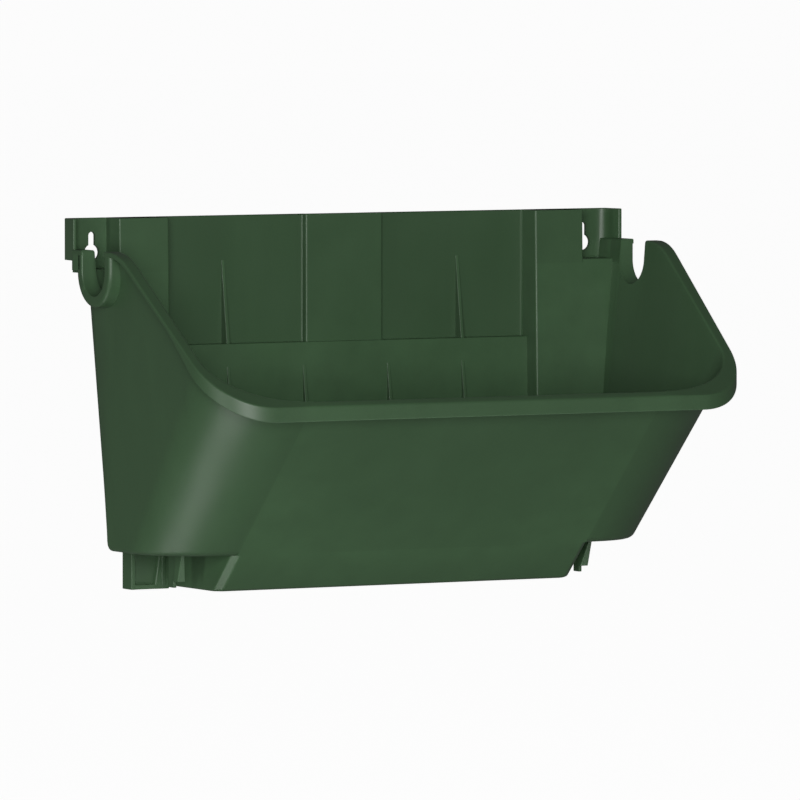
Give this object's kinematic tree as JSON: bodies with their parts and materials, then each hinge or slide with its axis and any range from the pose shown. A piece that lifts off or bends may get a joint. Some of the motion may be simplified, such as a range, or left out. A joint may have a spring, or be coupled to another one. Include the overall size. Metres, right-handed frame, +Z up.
{
  "type": "hanging parts bin",
  "caption": "Wall-hung open-front plastic bin with keyhole plates, rear columns, sloping rim, pipe notches and a lower tray.",
  "frame": {"origin": "middle of the line between the two keyholes' round holes, on the plane of the wall", "axes": "+Z up, +Y into the wall, +X to the right seen from the front; the bin reaches forward to negative Y"},
  "size_m": [0.368, 0.185, 0.2159],
  "materials": {
    "green_plastic": "satin moulded polypropylene, army green"
  },
  "bodies": {
    "root": {"back_gussets": "green_plastic", "back_ledge": "green_plastic", "centre_pad": "green_plastic", "front_lip": "green_plastic", "front_wall": "green_plastic", "left_back_panel": "green_plastic", "left_column": "green_plastic", "left_corner_panel": "green_plastic", "left_foot": "green_plastic", "left_front_corner": "green_plastic", "left_keyhole_plate": "green_plastic", "left_pipe_saddle": "green_plastic", "left_rim_corner": "green_plastic", "left_side_rim": "green_plastic", "left_side_wall": "green_plastic", "left_tray_side": "green_plastic", "left_wing_floor": "green_plastic", "left_wing_rib": "green_plastic", "lower_back_ribs": "green_plastic", "lower_back_wall": "green_plastic", "right_back_panel": "green_plastic", "right_column": "green_plastic", "right_corner_panel": "green_plastic", "right_foot": "green_plastic", "right_front_corner": "green_plastic", "right_keyhole_plate": "green_plastic", "right_pipe_saddle": "green_plastic", "right_rim_corner": "green_plastic", "right_side_rim": "green_plastic", "right_side_wall": "green_plastic", "right_tray_side": "green_plastic", "right_wing_floor": "green_plastic", "right_wing_rib": "green_plastic", "tray_floor": "green_plastic", "tray_front": "green_plastic"}
  },
  "joints": []
}
